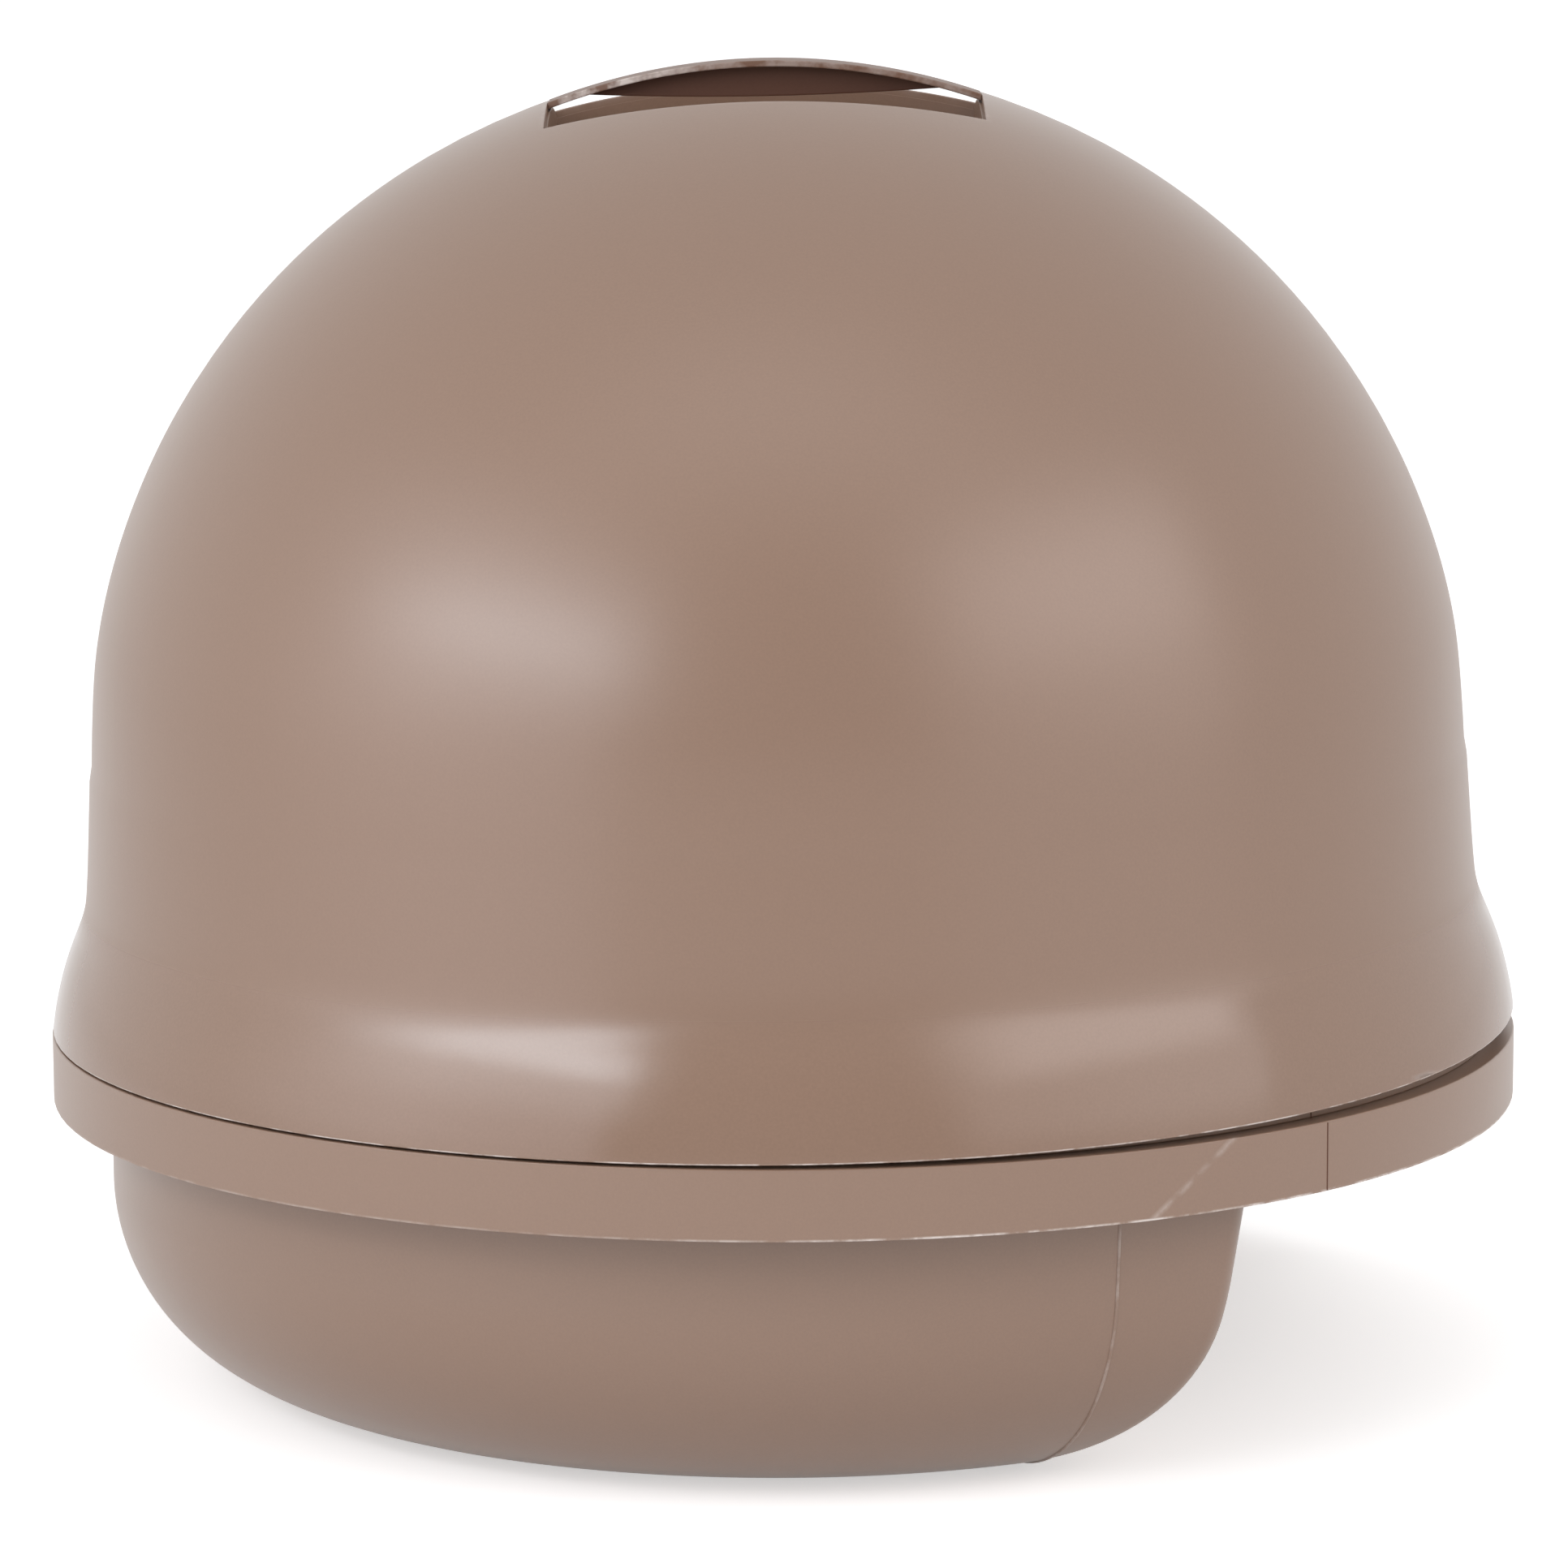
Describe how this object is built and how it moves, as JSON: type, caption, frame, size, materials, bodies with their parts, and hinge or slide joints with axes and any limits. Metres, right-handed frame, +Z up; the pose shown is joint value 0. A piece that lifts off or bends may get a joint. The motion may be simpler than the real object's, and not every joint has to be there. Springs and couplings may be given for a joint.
{
  "type": "hooded litter box",
  "caption": "Round litter box for a pet: a domed lift-off hood with a carry handle and a hinged filter hatch on a round pan with a cut-away side and a stepped entry tray",
  "frame": {"origin": "middle of the rim's footprint, on the floor that the pan stands on", "axes": "+Z up, the handle strip runs along X, the doorway faces between -Y and -X"},
  "size_m": [0.56, 0.5599, 0.4987],
  "materials": {
    "shell": "pearlescent satin moulded plastic",
    "tray": "satin moulded plastic",
    "carbon": "carbon-filled non-woven pad"
  },
  "bodies": {
    "base": {"litter_pan": "shell", "rim_skirt": "shell", "rim_ribs": "shell", "seating_lip": "shell", "entry_tray": "tray", "grip_ribs": "tray", "tray_feet": "tray"},
    "hood": {"hood_shell": "shell", "doorway_return": "shell", "locating_ribs": "shell", "handle_strip": "shell", "handle_web": "shell", "pocket_wall": "shell", "vent_floor": "shell", "filter_frame": "shell", "hinge_lugs": "shell", "filter_catch": "shell"},
    "filter_hatch": {"filter_door": "tray", "hinge_pins": "tray", "pull_tab": "tray", "filter_pad": "carbon"}
  },
  "joints": [
    {"name": "hood_lift", "type": "slide", "parent": "base", "child": "hood", "axis": [0, 0, 1], "range_m": [0, 0.1]},
    {"name": "filter_hinge", "type": "hinge", "parent": "hood", "child": "filter_hatch", "pos_m": [0.07997, 0, 0.43787], "axis": [0, -1, 0], "range_deg": [0, 95]}
  ]
}
